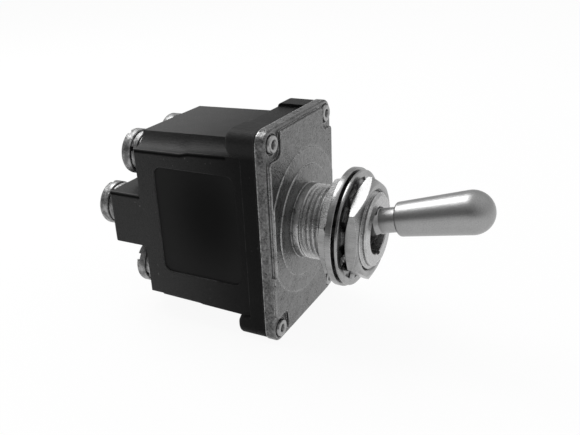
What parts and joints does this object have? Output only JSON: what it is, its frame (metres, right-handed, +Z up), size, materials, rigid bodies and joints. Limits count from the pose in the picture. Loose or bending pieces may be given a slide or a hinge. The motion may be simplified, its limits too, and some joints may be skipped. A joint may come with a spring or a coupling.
{
  "type": "panel toggle switch",
  "caption": "Sealed panel toggle switch: stepped black moulded case with screw terminals, riveted cover, threaded bushing with nuts and washers, and a bat lever.",
  "frame": {"origin": "on the bushing's axis, in the plane of the mounting seat on the cover", "axes": "bushing axis along Y with the lever towards -Y, case towards +Y; +Z up, the side the lever leans to at rest; +X right, seen from the front"},
  "size_m": [0.0224, 0.0647, 0.034],
  "materials": {
    "moulding": "black mineral-filled thermoset, satin, fine grain",
    "cover_casting": "die cast, plated, mottled grey",
    "gasket_rubber": "matt black",
    "rivet_metal": "plated, bright",
    "terminal_metal": "plated, dull silver",
    "screw_metal": "plated, worn bright on the edges",
    "hardware_metal": "machined, bright plated",
    "lever_metal": "satin plated",
    "inner_steel": "plain",
    "inner_plastic": "natural moulding",
    "contact_strip": "plain",
    "contact_silver": "bright silver"
  },
  "bodies": {
    "housing": {"case": "moulding", "cover": "cover_casting", "gasket": "gasket_rubber", "lever_seal": "gasket_rubber", "pivot_pin": "inner_steel", "rivet_upper_left": "rivet_metal", "rivet_upper_right": "rivet_metal", "rivet_lower_left": "rivet_metal", "rivet_lower_right": "rivet_metal", "terminal_left_top": "terminal_metal", "terminal_left_middle": "terminal_metal", "terminal_left_bottom": "terminal_metal", "terminal_right_top": "terminal_metal", "terminal_right_middle": "terminal_metal", "terminal_right_bottom": "terminal_metal"},
    "lever": {"lever": "lever_metal", "actuator": "inner_plastic", "spring_left": "inner_steel", "spring_right": "inner_steel"},
    "key_ring": {"key_ring": "hardware_metal"},
    "rear_nut": {"rear_nut": "hardware_metal"},
    "lock_washer": {"lock_washer": "hardware_metal"},
    "front_nut": {"front_nut": "hardware_metal"},
    "plunger_left": {"plunger_left": "inner_plastic"},
    "plunger_right": {"plunger_right": "inner_plastic"},
    "rocker_left": {"rocker_left": "contact_strip", "contact_left_upper": "contact_silver", "contact_left_lower": "contact_silver"},
    "rocker_right": {"rocker_right": "contact_strip", "contact_right_upper": "contact_silver", "contact_right_lower": "contact_silver"},
    "washers_left_top": {"screw_washer_left_top": "screw_metal", "screw_lock_washer_left_top": "screw_metal"},
    "screw_left_top": {"screw_left_top": "screw_metal"},
    "washers_left_middle": {"screw_washer_left_middle": "screw_metal", "screw_lock_washer_left_middle": "screw_metal"},
    "screw_left_middle": {"screw_left_middle": "screw_metal"},
    "washers_left_bottom": {"screw_washer_left_bottom": "screw_metal", "screw_lock_washer_left_bottom": "screw_metal"},
    "screw_left_bottom": {"screw_left_bottom": "screw_metal"},
    "washers_right_top": {"screw_washer_right_top": "screw_metal", "screw_lock_washer_right_top": "screw_metal"},
    "screw_right_top": {"screw_right_top": "screw_metal"},
    "washers_right_middle": {"screw_washer_right_middle": "screw_metal", "screw_lock_washer_right_middle": "screw_metal"},
    "screw_right_middle": {"screw_right_middle": "screw_metal"},
    "washers_right_bottom": {"screw_washer_right_bottom": "screw_metal", "screw_lock_washer_right_bottom": "screw_metal"},
    "screw_right_bottom": {"screw_right_bottom": "screw_metal"}
  },
  "joints": [
    {"name": "lever_toggle", "type": "hinge", "parent": "housing", "child": "lever", "pos_m": [0, -0.0057, 0], "axis": [1, 0, 0], "range_deg": [0, 28.8]},
    {"name": "plunger_left_slide", "type": "slide", "parent": "lever", "child": "plunger_left", "axis": [0, -0.9686, 0.2487], "range_m": [0, 0.0008], "stiffness_N_per_m": 800, "springref_m": -0.0025, "deforming": ["spring_left"]},
    {"name": "plunger_right_slide", "type": "slide", "parent": "lever", "child": "plunger_right", "axis": [0, -0.9686, 0.2487], "range_m": [0, 0.0008], "stiffness_N_per_m": 800, "springref_m": -0.0025, "deforming": ["spring_right"]},
    {"name": "rocker_left_tilt", "type": "hinge", "parent": "housing", "child": "rocker_left", "pos_m": [-0.00505, 0.01783, 0], "axis": [1, 0, 0], "range_deg": [-12.5, 0]},
    {"name": "rocker_right_tilt", "type": "hinge", "parent": "housing", "child": "rocker_right", "pos_m": [0.00505, 0.01783, 0], "axis": [1, 0, 0], "range_deg": [-12.5, 0]},
    {"name": "key_ring_slide", "type": "slide", "parent": "housing", "child": "key_ring", "axis": [0, 1, 0], "range_m": [0, 0.0046]},
    {"name": "rear_nut_spin", "type": "hinge", "parent": "key_ring", "child": "rear_nut", "pos_m": [0, 0, 0], "axis": [0, 1, 0], "range_deg": [0, 2087.2]},
    {"name": "lock_washer_slide", "type": "slide", "parent": "housing", "child": "lock_washer", "axis": [0, -1, 0], "range_m": [0, 0.0007]},
    {"name": "front_nut_spin", "type": "hinge", "parent": "lock_washer", "child": "front_nut", "pos_m": [0, 0, 0], "axis": [0, -1, 0], "range_deg": [0, 318.4]},
    {"name": "washers_left_top_slide", "type": "slide", "parent": "housing", "child": "washers_left_top", "axis": [0, 1, 0], "range_m": [0, 0.0024]},
    {"name": "screw_left_top_spin", "type": "hinge", "parent": "washers_left_top", "child": "screw_left_top", "pos_m": [-0.00505, 0.0269, 0.0099], "axis": [0, 1, 0], "range_deg": [0, 1089.5]},
    {"name": "washers_left_middle_slide", "type": "slide", "parent": "housing", "child": "washers_left_middle", "axis": [0, 1, 0], "range_m": [0, 0.0024]},
    {"name": "screw_left_middle_spin", "type": "hinge", "parent": "washers_left_middle", "child": "screw_left_middle", "pos_m": [-0.00505, 0.0269, 0], "axis": [0, 1, 0], "range_deg": [0, 1089.5]},
    {"name": "washers_left_bottom_slide", "type": "slide", "parent": "housing", "child": "washers_left_bottom", "axis": [0, 1, 0], "range_m": [0, 0.0024]},
    {"name": "screw_left_bottom_spin", "type": "hinge", "parent": "washers_left_bottom", "child": "screw_left_bottom", "pos_m": [-0.00505, 0.0269, -0.0099], "axis": [0, 1, 0], "range_deg": [0, 1089.5]},
    {"name": "washers_right_top_slide", "type": "slide", "parent": "housing", "child": "washers_right_top", "axis": [0, 1, 0], "range_m": [0, 0.0024]},
    {"name": "screw_right_top_spin", "type": "hinge", "parent": "washers_right_top", "child": "screw_right_top", "pos_m": [0.00505, 0.0269, 0.0099], "axis": [0, 1, 0], "range_deg": [0, 1089.5]},
    {"name": "washers_right_middle_slide", "type": "slide", "parent": "housing", "child": "washers_right_middle", "axis": [0, 1, 0], "range_m": [0, 0.0024]},
    {"name": "screw_right_middle_spin", "type": "hinge", "parent": "washers_right_middle", "child": "screw_right_middle", "pos_m": [0.00505, 0.0269, 0], "axis": [0, 1, 0], "range_deg": [0, 1089.5]},
    {"name": "washers_right_bottom_slide", "type": "slide", "parent": "housing", "child": "washers_right_bottom", "axis": [0, 1, 0], "range_m": [0, 0.0024]},
    {"name": "screw_right_bottom_spin", "type": "hinge", "parent": "washers_right_bottom", "child": "screw_right_bottom", "pos_m": [0.00505, 0.0269, -0.0099], "axis": [0, 1, 0], "range_deg": [0, 1089.5]}
  ],
  "couplings": [
    {"joint": "rocker_left_tilt", "follows": "lever_toggle", "ratio": -0.41667},
    {"joint": "rocker_right_tilt", "follows": "lever_toggle", "ratio": -0.41667},
    {"joint": "rear_nut_spin", "follows": "key_ring_slide", "rad_per_m": 7915.8},
    {"joint": "front_nut_spin", "follows": "lock_washer_slide", "rad_per_m": 7915.8},
    {"joint": "screw_left_top_spin", "follows": "washers_left_top_slide", "rad_per_m": 7915.8},
    {"joint": "screw_left_middle_spin", "follows": "washers_left_middle_slide", "rad_per_m": 7915.8},
    {"joint": "screw_left_bottom_spin", "follows": "washers_left_bottom_slide", "rad_per_m": 7915.8},
    {"joint": "screw_right_top_spin", "follows": "washers_right_top_slide", "rad_per_m": 7915.8},
    {"joint": "screw_right_middle_spin", "follows": "washers_right_middle_slide", "rad_per_m": 7915.8},
    {"joint": "screw_right_bottom_spin", "follows": "washers_right_bottom_slide", "rad_per_m": 7915.8}
  ]
}
